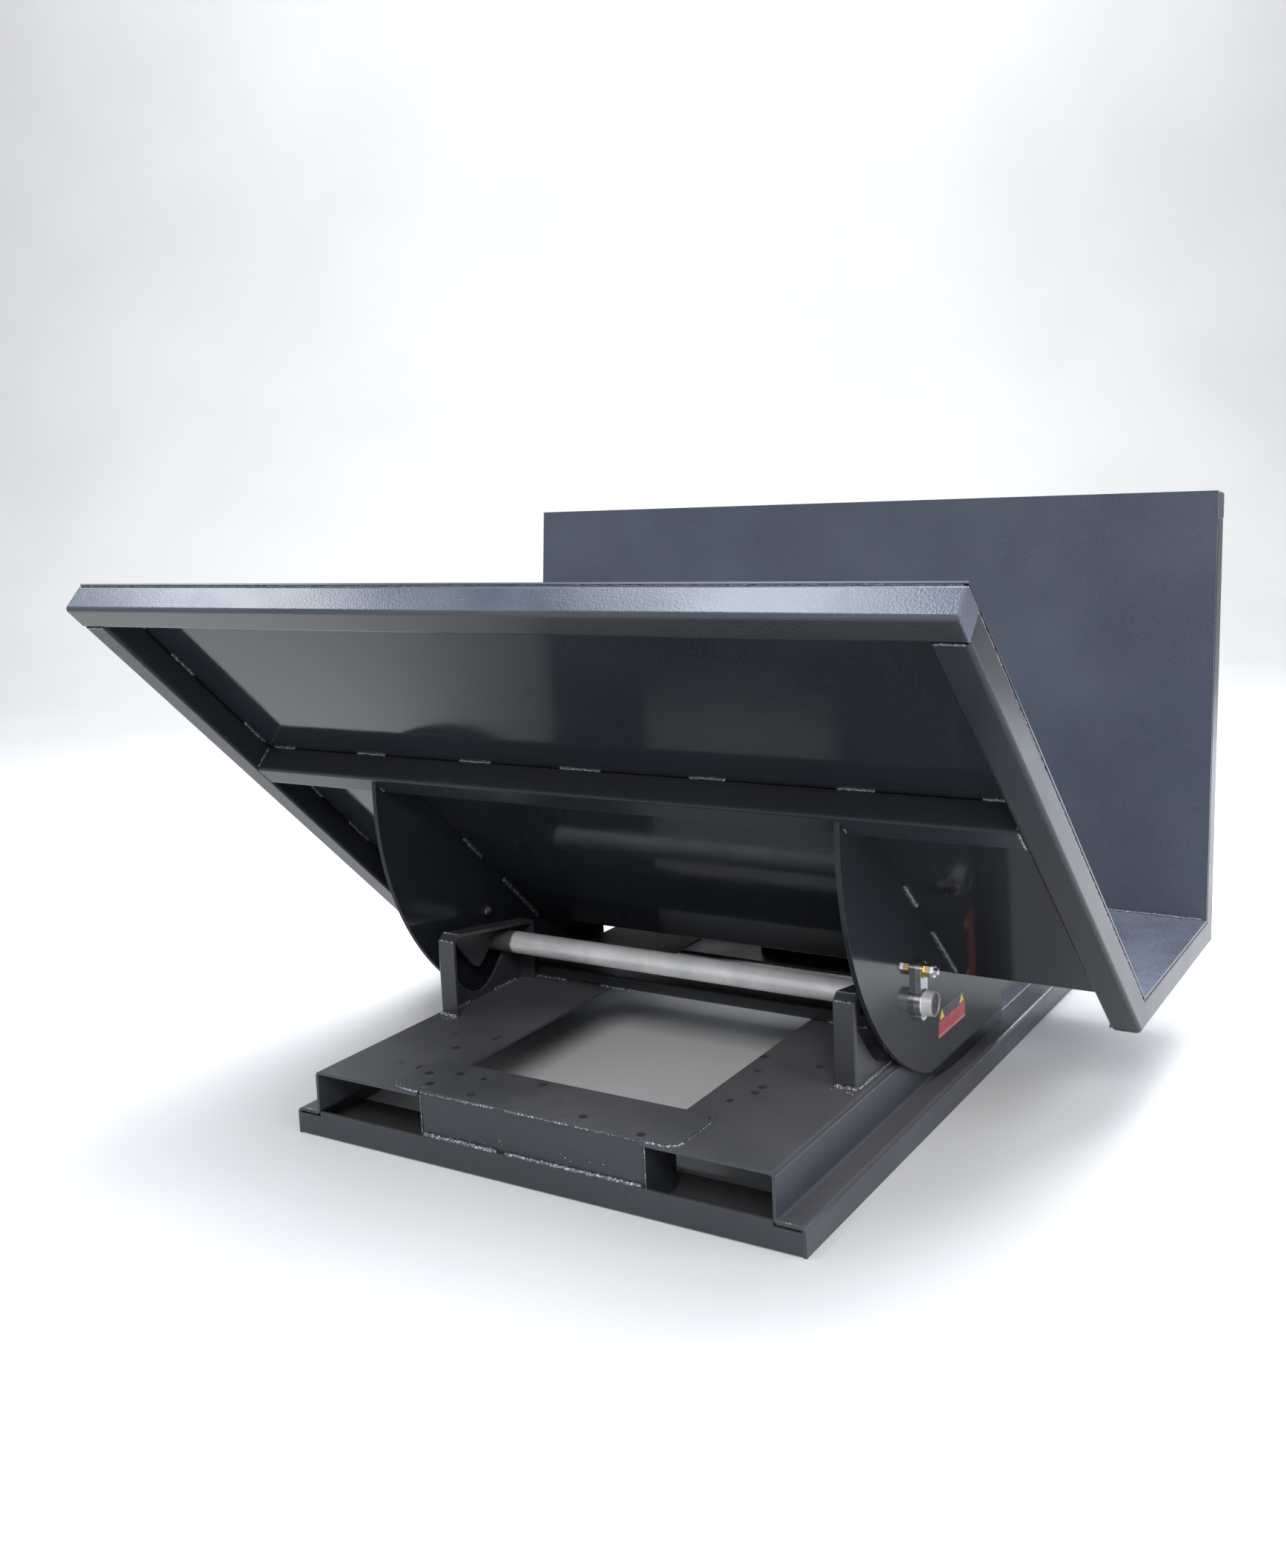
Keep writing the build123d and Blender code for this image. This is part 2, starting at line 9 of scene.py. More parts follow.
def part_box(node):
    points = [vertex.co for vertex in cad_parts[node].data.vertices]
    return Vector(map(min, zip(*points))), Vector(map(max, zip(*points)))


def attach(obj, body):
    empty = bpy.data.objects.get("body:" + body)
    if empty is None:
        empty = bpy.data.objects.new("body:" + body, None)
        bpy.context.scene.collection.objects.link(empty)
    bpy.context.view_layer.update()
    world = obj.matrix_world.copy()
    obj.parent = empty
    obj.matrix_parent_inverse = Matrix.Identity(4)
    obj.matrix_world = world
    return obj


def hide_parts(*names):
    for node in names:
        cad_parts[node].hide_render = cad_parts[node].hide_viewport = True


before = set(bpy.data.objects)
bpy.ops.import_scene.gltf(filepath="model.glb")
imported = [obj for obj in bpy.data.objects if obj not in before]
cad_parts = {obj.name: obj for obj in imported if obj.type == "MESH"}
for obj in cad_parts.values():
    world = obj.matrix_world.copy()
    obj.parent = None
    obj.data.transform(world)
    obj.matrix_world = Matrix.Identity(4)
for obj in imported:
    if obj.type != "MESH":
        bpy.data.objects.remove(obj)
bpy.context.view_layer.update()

rng = random.Random(7)

# ------------------------------------------------------------ places, from the CAD parts
# Working millimetres (X across, Y from the base's front lip, Z up) as the CAD counts them.
FRONT_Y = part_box("front_lip")[0][1]


def W(x, y, z):
    return Vector((x / 1000.0, y / 1000.0 + FRONT_Y, z / 1000.0))


P1, P2, P3, P4 = (-118.1, 950.4), (677.0, 206.9), (1136.7, 212.7), (1222.2, 1017.9)
SHEET, TUBE, TRAY_HALF = 3.4, 50.8, 772.4
OUT = SHEET + TUBE
X_IN = TRAY_HALF - TUBE
RIB_D, BACK_RIB_D, UPRIGHT_X = 481.0, 380.0, 300.0
DECK_Z, TRACK_Z, BASE_LEN = 116.5, 45.0, 1300.0


def span(a, b):
    d = Vector((b[0] - a[0], b[1] - a[1]))
    return d.length, d.normalized()


L1, D1 = span(P1, P2)
L2, D2 = span(P2, P3)
L3, D3 = span(P3, P4)
N1, N2, N3 = [Vector((d.y, -d.x)) for d in (D1, D2, D3)]


def on(p, d, nn, s, o):
    return (p[0] + d.x * s + nn.x * o, p[1] + d.y * s + nn.y * o)


def off1(s, o):
    return on(P1, D1, N1, s, o)


def off2(s, o):
    return on(P2, D2, N2, s, o)


def off3(s, o):
    return on(P3, D3, N3, s, o)


def meet(a, da, b, db):
    den = da.x * db.y - da.y * db.x
    t = ((b[0] - a[0]) * db.y - (b[1] - a[1]) * db.x) / den
    return (a[0] + da.x * t, a[1] + da.y * t)


def corner12(o):
    return meet(off1(0, o), D1, off2(0, o), D2)


def corner23(o):
    return meet(off2(0, o), D2, off3(0, o), D3)


# ------------------------------------------------------------ materials
class Mat:
    """A small helper round one node material."""

    def __init__(self, name):
        self.m = bpy.data.materials.new(name)
        self.m.use_nodes = True
        self.t = self.m.node_tree
        self.t.nodes.clear()
        self.out = self.n("ShaderNodeOutputMaterial")
        self.p = self.n("ShaderNodeBsdfPrincipled")
        self.l(self.p.outputs[0], self.out.inputs[0])
        self.tc = self.n("ShaderNodeTexCoord")
        self.co = self.tc.outputs["Object"]

    def n(self, kind, **kw):
        x = self.t.nodes.new(kind)
        for k, v in kw.items():
            setattr(x, k, v)
        return x

    def l(self, a, b):
        self.t.links.new(a, b)

    def mapped(self, scale=(1, 1, 1), rot=(0, 0, 0), loc=(0, 0, 0)):
        x = self.n("ShaderNodeMapping")
        x.inputs["Scale"].default_value = scale
        x.inputs["Rotation"].default_value = rot
        x.inputs["Location"].default_value = loc
        self.l(self.co, x.inputs["Vector"])
        return x.outputs[0]

    def noise(self, scale, detail=3.0, rough=0.55, vec=None, dist=0.0):
        x = self.n("ShaderNodeTexNoise")
        x.inputs["Scale"].default_value = scale
        x.inputs["Detail"].default_value = detail
        x.inputs["Roughness"].default_value = rough
        x.inputs["Distortion"].default_value = dist
        self.l(vec or self.co, x.inputs["Vector"])
        return x.outputs[0]

    def voronoi(self, scale, vec=None, feature="F1"):
        x = self.n("ShaderNodeTexVoronoi", feature=feature)
        x.inputs["Scale"].default_value = scale
        self.l(vec or self.co, x.inputs["Vector"])
        return x.outputs["Distance"]

    def ramp(self, v, lo, hi, a=0.0, b=1.0):
        x = self.n("ShaderNodeMapRange")
        x.interpolation_type = "SMOOTHSTEP"
        x.inputs["From Min"].default_value = lo
        x.inputs["From Max"].default_value = hi
        x.inputs["To Min"].default_value = a
        x.inputs["To Max"].default_value = b
        self.l(v, x.inputs["Value"])
        return x.outputs[0]

    def math(self, op, a, b=None):
        x = self.n("ShaderNodeMath", operation=op)
        for i, v in enumerate((a, b)):
            if v is None:
                continue
            if isinstance(v, (int, float)):
                x.inputs[i].default_value = v
            else:
                self.l(v, x.inputs[i])
        return x.outputs[0]

    def mix(self, f, a, b):
        x = self.n("ShaderNodeMix", data_type="RGBA")
        if isinstance(f, (int, float)):
            x.inputs[0].default_value = f
        else:
            self.l(f, x.inputs[0])
        for i, v in ((6, a), (7, b)):
            if isinstance(v, tuple):
                x.inputs[i].default_value = (*v, 1)
            else:
                self.l(v, x.inputs[i])
        return x.outputs[2]

    def bump(self, h, strength, dist, chain=None):
        x = self.n("ShaderNodeBump")
        x.inputs["Strength"].default_value = strength
        x.inputs["Distance"].default_value = dist
        self.l(h, x.inputs["Height"])
        if chain is not None:
            self.l(chain, x.inputs["Normal"])
        return x.outputs[0]

    def up(self):
        """The piece's own upward direction, which rides with it."""
        x = self.n("ShaderNodeSeparateXYZ")
        self.l(self.tc.outputs["Normal"], x.inputs[0])
        return x.outputs["Z"]

    def xyz(self):
        x = self.n("ShaderNodeSeparateXYZ")
        self.l(self.co, x.inputs[0])
        return x.outputs


def enamel(name, base, rough, dust_and_sheen=0.0, dust_and_sheen_film=(0.125, 0.115, 0.105), scuff=0.3, peel=0.12, wave=0.03, spec=0.5, wet=False, round_mm=1.0, ior=1.5, flecks_and_glints=0.0, rim_highlight=None, painted_underside_shade=None):
    m = Mat(name)
    p = m.p
    # colour: slow drift, fine mottling
    drift = m.ramp(m.noise(2.3, 3), 0.3, 0.7)
    c = m.mix(drift, tuple(v * 0.84 for v in base), tuple(v * 1.16 for v in base))
    fine = m.ramp(m.noise(240, 2), 0.35, 0.7, 0, 0.22)
    c = m.mix(fine, c, tuple(v * 1.6 for v in base))
    # long faint rub marks
    rub = m.noise(9, 4, 0.7, m.mapped((1, 14, 14), (0.2, 0.1, 0.5)), 0.6)
    rubm = m.ramp(rub, 0.66, 0.80, 0, scuff * 0.6)
    c = m.mix(m.math("MULTIPLY", rubm, 0.35), c, (0.16, 0.17, 0.18))
    # short scratches
    scr = m.voronoi(26, m.mapped((0.25, 5.0, 5.0), (0.7, 0.4, 0.9)), "DISTANCE_TO_EDGE")
    gate = m.ramp(m.noise(5.5, 2), 0.62, 0.74)
    scrm = m.math("MULTIPLY", m.ramp(scr, 0.0, 0.012, scuff, 0.0), gate)
    c = m.mix(m.math("MULTIPLY", scrm, 0.6), c, (0.22, 0.23, 0.25))
    r = m.ramp(m.noise(6, 4), 0.3, 0.7, rough * 0.75, rough * 1.35)
    r = m.math("ADD", r, m.math("MULTIPLY", rubm, 0.25))
    r = m.math("ADD", r, m.math("MULTIPLY", scrm, 0.3))
    if dust_and_sheen > 0:
        # lighter film on the faces that look up: real dust, and painted sheen of the overhead light
        up_facing_dust_and_sheen = m.ramp(m.up(), 0.55, 0.95)
        cloud = m.ramp(m.noise(3.4, 5, 0.62), 0.28, 0.72, 0.45, 1.0)
        grit = m.ramp(m.noise(420, 2), 0.45, 0.75, 0.55, 1.0)
        d = m.math("MULTIPLY", m.math("MULTIPLY", up_facing_dust_and_sheen, cloud), m.math("MULTIPLY", grit, dust_and_sheen))
        c = m.mix(d, c, dust_and_sheen_film)
        r = m.math("ADD", r, m.math("MULTIPLY", d, 0.42))
    if wet:
        drops = m.voronoi(21, m.mapped((1, 1, 1), (0, 0, 0.4)))
        where = m.ramp(m.noise(2.6, 2, vec=m.mapped(loc=(0.4, 0.2, 0))), 0.54, 0.6)
        dm = m.math("MULTIPLY", m.ramp(drops, 0.13, 0.2, 1, 0), m.math("MULTIPLY", where, m.ramp(m.up(), 0.8, 0.95)))
        c = m.mix(m.math("MULTIPLY", dm, 0.75), c, tuple(v * 0.4 for v in base))
        r = m.math("SUBTRACT", r, m.math("MULTIPLY", dm, 0.12))
    # worn, thin paint along edges
    if round_mm:
        bev = m.n("ShaderNodeBevel", samples=4)
        bev.inputs["Radius"].default_value = round_mm / 1000
        geo = m.n("ShaderNodeNewGeometry")
        dot = m.n("ShaderNodeVectorMath", operation="DOT_PRODUCT")
        m.l(bev.outputs[0], dot.inputs[0])
        m.l(geo.outputs["Normal"], dot.inputs[1])
        edge = m.ramp(dot.outputs["Value"], 0.80, 0.985, 1, 0)
        edge = m.math("MULTIPLY", edge, m.ramp(m.noise(38, 4, 0.7), 0.38, 0.66, 0.15, 1.0))
        c = m.mix(m.math("MULTIPLY", edge, 0.38), c, (0.24, 0.25, 0.28))
        start = bev.outputs[0]
    else:
        start = None
    if flecks_and_glints:
        # bright specks: bare bead where the paint is thin, and painted glints on the glossy ripples
        fleck_glint_mask = m.ramp(m.noise(300, 3, 0.6), 0.53, 0.62, 0, flecks_and_glints)
        c = m.mix(fleck_glint_mask, c, (0.72, 0.75, 0.83))
    if painted_underside_shade:
        # painted shade: a darker colour on the faces that look down
        underside_shade_mask = m.ramp(m.up(), -0.35, 0.05, 0.9, 0)
        c = m.mix(underside_shade_mask, c, painted_underside_shade)
    if rim_highlight:
        # painted highlight: the sheet's cut end takes the light bluish colour of the top tube beside it
        py, pz, dy, dz, rim_highlight_colour = rim_highlight
        o = m.xyz()
        s = m.math("ADD", m.math("MULTIPLY", m.math("SUBTRACT", o["Y"], py), dy), m.math("MULTIPLY", m.math("SUBTRACT", o["Z"], pz), dz))
        rim_highlight_mask = m.ramp(s, 0.0006, 0.0012, 1, 0)
        c = m.mix(rim_highlight_mask, c, rim_highlight_colour)
        r = m.math("ADD", r, m.math("MULTIPLY", rim_highlight_mask, 0.14))
    m.l(c, p.inputs["Base Color"])
    m.l(m.math("MINIMUM", r, 0.85), p.inputs["Roughness"])
    orange = m.noise(330, 2, 0.5)
    swell = m.noise(5.5, 2, 0.5)
    nrm = m.bump(orange, peel, 0.0006, start)
    nrm = m.bump(swell, wave, 0.004, nrm)
    m.l(nrm, p.inputs["Normal"])
    p.inputs["Metallic"].default_value = 0.0
    p.inputs["IOR"].default_value = ior
    p.inputs["Specular IOR Level"].default_value = spec
    return m.m


def metal(name, base, rough, axis_x=True, stain=(0.2, 0.2, 0.2), stain_amt=0.3, peel=0.05, dark_ends=False, metallic=1.0):
    m = Mat(name)
    p = m.p
    drift = m.ramp(m.noise(11, 4), 0.3, 0.7)
    c = m.mix(drift, tuple(v * 0.82 for v in base), tuple(min(v * 1.12, 1) for v in base))
    blot = m.ramp(m.noise(23, 5, 0.65), 0.55, 0.75, 0, stain_amt)
    c = m.mix(blot, c, stain)
    grain_v = m.mapped((3, 420, 420) if axis_x else (420, 420, 3))
    grain = m.noise(1.0, 3, 0.6, grain_v)
    r = m.ramp(grain, 0.25, 0.75, rough * 0.8, rough * 1.3)
    r = m.math("ADD", r, m.math("MULTIPLY", blot, 0.3))
    if dark_ends:
        # a darker band near each end of the bar, about where it runs in the slots
        o = m.xyz()
        ax = m.math("ABSOLUTE", o["X"])
        wob = m.math("MULTIPLY", m.math("SUBTRACT", m.noise(34, 3), 0.5), 0.012)
        a = m.math("ADD", ax, wob)
        band = m.math("MULTIPLY", m.ramp(a, 0.366, 0.374), m.ramp(a, 0.446, 0.452, 1, 0))
        c = m.mix(m.math("MULTIPLY", band, 0.93), c, (0.05, 0.05, 0.055))
        r = m.math("ADD", r, m.math("MULTIPLY", band, 0.15))
        # sawn ends
        c = m.mix(m.math("MULTIPLY", m.ramp(ax, 0.4798, 0.4802), 0.85), c, (0.10, 0.10, 0.105))
    m.l(c, p.inputs["Base Color"])
    m.l(m.math("MINIMUM", r, 0.8), p.inputs["Roughness"])
    p.inputs["Metallic"].default_value = metallic
    m.l(m.bump(grain, peel, 0.0004), p.inputs["Normal"])
    return m.m


def plastic(name, base, rough):
    m = Mat(name)
    c = m.mix(m.ramp(m.noise(60, 3), 0.3, 0.7), tuple(v * 0.8 for v in base), tuple(v * 1.3 for v in base))
    m.l(c, m.p.inputs["Base Color"])
    m.l(m.ramp(m.noise(90, 3), 0.3, 0.7, rough * 0.85, rough * 1.15), m.p.inputs["Roughness"])
    m.l(m.bump(m.noise(700, 2), 0.15, 0.0004), m.p.inputs["Normal"])
    return m.m


def sticker_mat():
    """Red lower field, dark upper strip with a yellow triangle at each end."""
    m = Mat("sticker_print")
    lo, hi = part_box("rocker_stickers")
    y0, y1, z0, z1 = lo[1], hi[1], lo[2], hi[2]
    o = m.xyz()
    u = m.ramp_lin(o["Y"], y0, y1)
    v = m.ramp_lin(o["Z"], z0, z1)
    red = m.mix(m.ramp(m.noise(70, 3), 0.3, 0.7), (0.42, 0.025, 0.04), (0.55, 0.04, 0.06))
    strip = m.math("GREATER_THAN", v, 0.58)
    c = m.mix(strip, red, (0.018, 0.018, 0.02))
    for cu in (0.13, 0.87):
        # a point up triangle between v 0.63 and 0.95
        h = m.math("DIVIDE", m.math("SUBTRACT", v, 0.63), 0.32)
        half = m.math("MULTIPLY", m.math("SUBTRACT", 1.0, h), 0.085)
        d = m.math("ABSOLUTE", m.math("SUBTRACT", u, cu))
        tri = m.math("MULTIPLY", m.math("LESS_THAN", d, half), m.math("GREATER_THAN", h, 0.0))
        c = m.mix(tri, c, (0.85, 0.6, 0.03))
    edge = m.math("LESS_THAN", m.math("ABSOLUTE", m.math("SUBTRACT", v, 0.075)), 0.018)
    c = m.mix(m.math("MULTIPLY", edge, 0.55), c, (0.8, 0.75, 0.72))
    grime = m.ramp(m.noise(30, 4), 0.5, 0.8, 0, 0.3)
    c = m.mix(grime, c, (0.1, 0.09, 0.085))
    m.l(c, m.p.inputs["Base Color"])
    m.l(m.ramp(m.noise(50, 3), 0.3, 0.7, 0.28, 0.42), m.p.inputs["Roughness"])
    m.l(m.bump(m.noise(60, 3), 0.2, 0.0006), m.p.inputs["Normal"])
    return m.m


def _ramp_lin(self, v, lo, hi):
    x = self.n("ShaderNodeMapRange")
    x.inputs["From Min"].default_value = lo
    x.inputs["From Max"].default_value = hi
    self.l(v, x.inputs["Value"])
    return x.outputs[0]


Mat.ramp_lin = _ramp_lin

CHAR = (0.017, 0.019, 0.024)
BLUE = (0.054, 0.064, 0.088)
e0, e1 = W(0, *off1(0, 0)), W(0, *off1(1000, 0))
# painted highlight colour for the floor sheet's cut top edge
RIM_PAINTED_HIGHLIGHT = (e0[1], e0[2], e1[1] - e0[1], e1[2] - e0[2], (0.060, 0.072, 0.096))
M = {
    # the floor sheet's bluish film on faces that look up is painted sheen of the overhead light, with dust
    "sheet": enamel("paint_sheet", CHAR, 0.09, dust_and_sheen=0.95, dust_and_sheen_film=(0.150, 0.170, 0.220), scuff=0.12, peel=0.03, wave=0.11, spec=0.42, ior=1.38, rim_highlight=RIM_PAINTED_HIGHLIGHT),
    "back": enamel("paint_back", BLUE, 0.33, dust_and_sheen=0.15, scuff=0.22, peel=0.08, spec=0.45),
    "tube": enamel("paint_tube", (0.019, 0.021, 0.026), 0.19, dust_and_sheen=0.25, scuff=0.16, peel=0.10, spec=0.30, ior=1.36),
    # the top tube's paint is a lighter, bluish copy of the tube paint: painted highlight of the overhead light
    "toptube_painted_highlight": enamel("paint_top_tube_painted_highlight", (0.052, 0.063, 0.086), 0.20, dust_and_sheen=0.0, scuff=0.85, peel=0.38, wave=0.14, spec=0.5, painted_underside_shade=(0.011, 0.012, 0.013)),
    "rocker": enamel("paint_rocker", (0.016, 0.018, 0.023), 0.085, dust_and_sheen=0.0, scuff=0.2, peel=0.03, wave=0.06, spec=0.42, ior=1.30),
    "base": enamel("paint_base", (0.040, 0.044, 0.056), 0.30, dust_and_sheen=0.95, dust_and_sheen_film=(0.160, 0.156, 0.156), scuff=0.6, peel=0.12, wet=True),
    "basefront": enamel("paint_base_front", (0.034, 0.037, 0.045), 0.34, dust_and_sheen=0.6, scuff=0.4, peel=0.14),
    "post": enamel("paint_post", (0.036, 0.038, 0.043), 0.34, dust_and_sheen=0.4, scuff=0.35, peel=0.10),
    # weld paint lighter than the paint round it: painted highlight on the glossy ripples
    "weld": enamel("paint_weld", (0.050, 0.054, 0.062), 0.16, dust_and_sheen=0.0, scuff=0.1, peel=0.45, spec=0.8, round_mm=0, flecks_and_glints=0.25),
    "weldbase": enamel("paint_weld_base", (0.085, 0.090, 0.102), 0.14, dust_and_sheen=0.0, scuff=0.1, peel=0.5, spec=1.0, round_mm=0, flecks_and_glints=0.75),
    "bar": metal("bar_satin", (0.93, 0.93, 0.94), 0.44, stain=(0.26, 0.25, 0.24), stain_amt=0.3, dark_ends=True, metallic=0.5),
    "lug": metal("lug_zinc", (0.56, 0.57, 0.58), 0.34, stain=(0.28, 0.27, 0.26), stain_amt=0.35, peel=0.12),
    "yellow": metal("yellow_zinc_plate", (0.56, 0.42, 0.19), 0.30, stain=(0.36, 0.30, 0.2), stain_amt=0.45),
    "bolt": metal("bolt_zinc", (0.68, 0.70, 0.73), 0.24, stain=(0.4, 0.4, 0.4), stain_amt=0.3),
    "plug": plastic("plug_dark", (0.012, 0.012, 0.013), 0.55),
    "grip": plastic("grip_rubber_black", (0.014, 0.014, 0.014), 0.62),
    "sticker": sticker_mat(),
}

LOOK = {}
for names, key in (
    (("apron_floor_sheet",), "sheet"), (("back_sheet",), "back"), (("apron_top_tube", "apron_tube_end_caps"), "toptube_painted_highlight"),
    (("rocker_plate_right", "rocker_plate_left"), "rocker"),
    (("base_side_channel_right", "base_side_channel_left", "front_bridge_plate", "rear_bridge_plate"), "base"),
    (("front_lip", "rear_lip", "front_bridge_channel", "rear_bridge_channel"), "basefront"),
    (("stanchion_right", "stanchion_left", "deck_cross_tube", "keeper_ears"), "post"),
    (("pivot_bar",), "bar"), (("bar_lug_right", "bar_lug_left"), "lug"),
    (("lug_washers", "lug_nuts"), "yellow"),
    (("lug_bolts", "lug_lock_nuts", "latch_pivot_pin", "latch_pin_collar", "keeper_pin"), "bolt"),
    (("pivot_bar_end_plugs",), "plug"), (("latch_grip",), "grip"), (("rocker_stickers",), "sticker"),
):
    for nm in names:
        LOOK[nm] = key


def node_object(name):
    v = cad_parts[name]
    return v if isinstance(v, bpy.types.Object) else bpy.data.objects[name]


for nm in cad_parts:
    ob = node_object(nm)
    mat = M[LOOK.get(nm, "tube")]
    if not ob.data.materials:
        ob.data.materials.append(mat)
    for s in ob.material_slots:
        s.material = mat


# ------------------------------------------------------------ pieces
def piece(name, bm, mat, body, smooth=True):
    bmesh.ops.recalc_face_normals(bm, faces=bm.faces)
    me = bpy.data.meshes.new(name)
    bm.to_mesh(me)
    bm.free()
    for f in me.polygons:
        f.use_smooth = smooth
    ob = bpy.data.objects.new(name, me)
    bpy.context.scene.collection.objects.link(ob)
    me.materials.append(mat)
    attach(ob, body)
    return ob


def add_bead(bm, pts, r, seed, pitch=4.2, lump=0.16, flat=1.0, step=1.3):
    """One rippled weld bead along a path of working-mm points, closed at both ends."""
    P = [Vector(p) for p in pts]
    length = [0.0]
    for a, b in zip(P, P[1:]):
        length.append(length[-1] + (b - a).length)
    total = length[-1]
    n = max(4, int(total / step))
    seg = 9
    rings = []
    for i in range(n + 1):
        s = total * i / n
        k = 0
        while k < len(P) - 2 and s > length[k + 1]:
            k += 1
        a, b = P[k], P[k + 1]
        c = a.lerp(b, (s - length[k]) / max(length[k + 1] - length[k], 1e-6))
        t = (b - a).normalized()
        ref = Vector((0, 0, 1)) if abs(t.z) < 0.9 else Vector((1, 0, 0))
        u = t.cross(ref).normalized()
        w = t.cross(u)
        q = Vector((c.x * 0.05 + seed * 3.1, c.y * 0.05, c.z * 0.05))
        wander = noise.noise_vector(q * 2.2) * r * 0.30
        body_r = r * (1 + 0.28 * noise.noise(q * 4.5))
        end = min(s, total - s)
        if end < r:
            body_r *= math.sqrt(max(0.06, 1 - (1 - end / r) ** 2))
        ring = []
        for j in range(seg):
            ang = 2 * math.pi * j / seg
            ph = s / pitch + 0.28 * math.cos(ang) + 0.25 * noise.noise(q * 7)
            rip = (ph - math.floor(ph))
            rr = body_r * (1 + lump * (1 - rip) - lump * 0.5)
            rr *= 1 + 0.05 * noise.noise(Vector((s * 0.6, ang * 2, seed)))
            d = (u * math.cos(ang) + w * math.sin(ang)) * rr
            v = c + d + wander
            ring.append(bm.verts.new(W(*v)))
        rings.append(ring)
    for A, B in zip(rings, rings[1:]):
        for j in range(seg):
            bm.faces.new((A[j], A[(j + 1) % seg], B[(j + 1) % seg], B[j]))
    bm.faces.new(list(reversed(rings[0])))
    bm.faces.new(rings[-1])


def add_drop(bm, c, r, seed):
    """A speck of weld spatter: a lumpy low dome."""
    res = bmesh.ops.create_icosphere(bm, subdivisions=2, radius=r / 1000.0)
    for v in res["verts"]:
        v.co *= 1 + 0.25 * noise.noise(v.co * 900 + Vector((seed, 0, 0)))
        v.co += W(*c)


def welds(name, runs, body, spatter=()):
    bm = bmesh.new()
    for i, run in enumerate(runs):
        add_bead(bm, run[0], run[1], i + len(name), **(run[2] if len(run) > 2 else {}))
    for i, (c, r) in enumerate(spatter):
        add_drop(bm, c, r, i)
    return piece(name, bm, M["weldbase" if body == "base" else "weld"], body)


def line(x0, p0, x1, p1):
    return [(x0, p0[0], p0[1]), (x1, p1[0], p1[1])]


# --- tray: rib to sheet, stitched on both edges
a = off1(RIB_D - 0.5, SHEET + 0.8)
b = off1(RIB_D + TUBE + 0.5, SHEET + 0.8)
runs = [(line(x0, a, x1, a), 3.0) for x0, x1 in ((-503, -436), (-271, -202), (-61, 21), (185, 252), (437, 500), (660, 700), (-708, -655))]
runs += [(line(x0, b, x1, b), 3.0) for x0, x1 in ((-640, -575), (-380, -310), (-130, -60), (110, 180), (330, 400), (560, 630))]
# rib ends to the side tubes
for sx in (-1, 1):
    x = sx * (X_IN - 0.6)
    runs.append((line(x, off1(RIB_D + 3, OUT - 1.6), x, off1(RIB_D + TUBE - 3, OUT - 1.6)), 2.3))
    runs.append((line(x, off1(RIB_D - 0.6, SHEET + 2), x, off1(RIB_D - 0.6, OUT - 5)), 2.3))
    runs.append((line(x, off1(RIB_D + TUBE + 0.6, SHEET + 2), x, off1(RIB_D + TUBE + 0.6, OUT - 5)), 2.3))
welds("rib_weld_beads", runs, "tray")

# --- tray: side tubes to the sheets
runs = []
for sx in (-1, 1):
    x = sx * (X_IN - 0.5)
    for s0, s1 in ((188, 253), (401, 466), (751, 826), (60, 118), (600, 660), (950, 1010)):
        runs.append((line(x, off1(s0, SHEET + 0.8), x, off1(s1, SHEET + 0.8)), 2.8))
    for s0, s1 in ((70, 140), (230, 300)):
        runs.append((line(x, off2(s0, SHEET + 0.8), x, off2(s1, SHEET + 0.8)), 2.8))
    for s0, s1 in ((90, 160), (270, 340), (480, 550), (660, 730)):
        runs.append((line(x, off3(s0, SHEET + 0.8), x, off3(s1, SHEET + 0.8)), 2.8))
    # continuous bead in the groove along each outer edge of the tray
    xe = sx * (TRAY_HALF - 3.3)
    runs.append((line(xe, off1(6, SHEET + 0.7), xe, off1(L1 - 6, SHEET + 0.7)), 2.1, {"step": 2.0, "lump": 0.2}))
    runs.append((line(xe, off2(6, SHEET + 0.7), xe, off2(L2 - 2, SHEET + 0.7)), 2.1, {"step": 2.0, "lump": 0.2}))
    runs.append((line(xe, off3(6, SHEET + 0.7), xe, off3(L3 - 6, SHEET + 0.7)), 2.1, {"step": 2.0, "lump": 0.2}))
    # inside corner of floor and back wall
runs.append((line(-TRAY_HALF + 8, (P3[0] - 0.6, P3[1] + 0.6), TRAY_HALF - 8, (P3[0] - 0.6, P3[1] + 0.6)), 2.4, {"step": 1.8}))
welds("sheet_edge_weld_beads", runs, "tray")

# --- tray: mitres and tube ends
runs = []
for sx in (-1, 1):
    for k, (f, g) in enumerate(((corner12(SHEET + 4), corner12(OUT - 0.4)), (corner23(SHEET + 4), corner23(OUT - 0.4)))):
        xi = sx * (X_IN + 0.2)
        runs.append((line(xi, f, xi, g), 1.9))
        runs.append((line(sx * (X_IN + 5), g, sx * (TRAY_HALF - 6), g), 1.9))
    for q0, q1, e in ((off1(TUBE, SHEET + 5), off1(TUBE, OUT - 5), off1(TUBE, OUT - 0.3)),
                      (off3(L3 - TUBE, SHEET + 5), off3(L3 - TUBE, OUT - 5), off3(L3 - TUBE, OUT - 2.2))):
        runs.append((line(sx * (X_IN - 0.2), q0, sx * (X_IN - 0.2), q1), 1.9))
        runs.append((line(sx * (X_IN + 5), e, sx * (TRAY_HALF - 6), e), 1.9))
welds("tray_mitre_weld_beads", runs, "tray")

# --- tray: ground beads that fill the groove between each top edge and its tube's rounded corner
for nm, q, key in (("front_edge_weld_bead", off1(3.2, SHEET + 0.9), "toptube_painted_highlight"), ("back_edge_weld_bead", off3(L3 - 3.2, SHEET + 0.9), "tube")):
    bm = bmesh.new()
    add_bead(bm, line(-TRAY_HALF + 5, q, TRAY_HALF - 5, q), 2.3, 77, lump=0.08, step=2.5)
    piece(nm, bm, M[key], "tray")

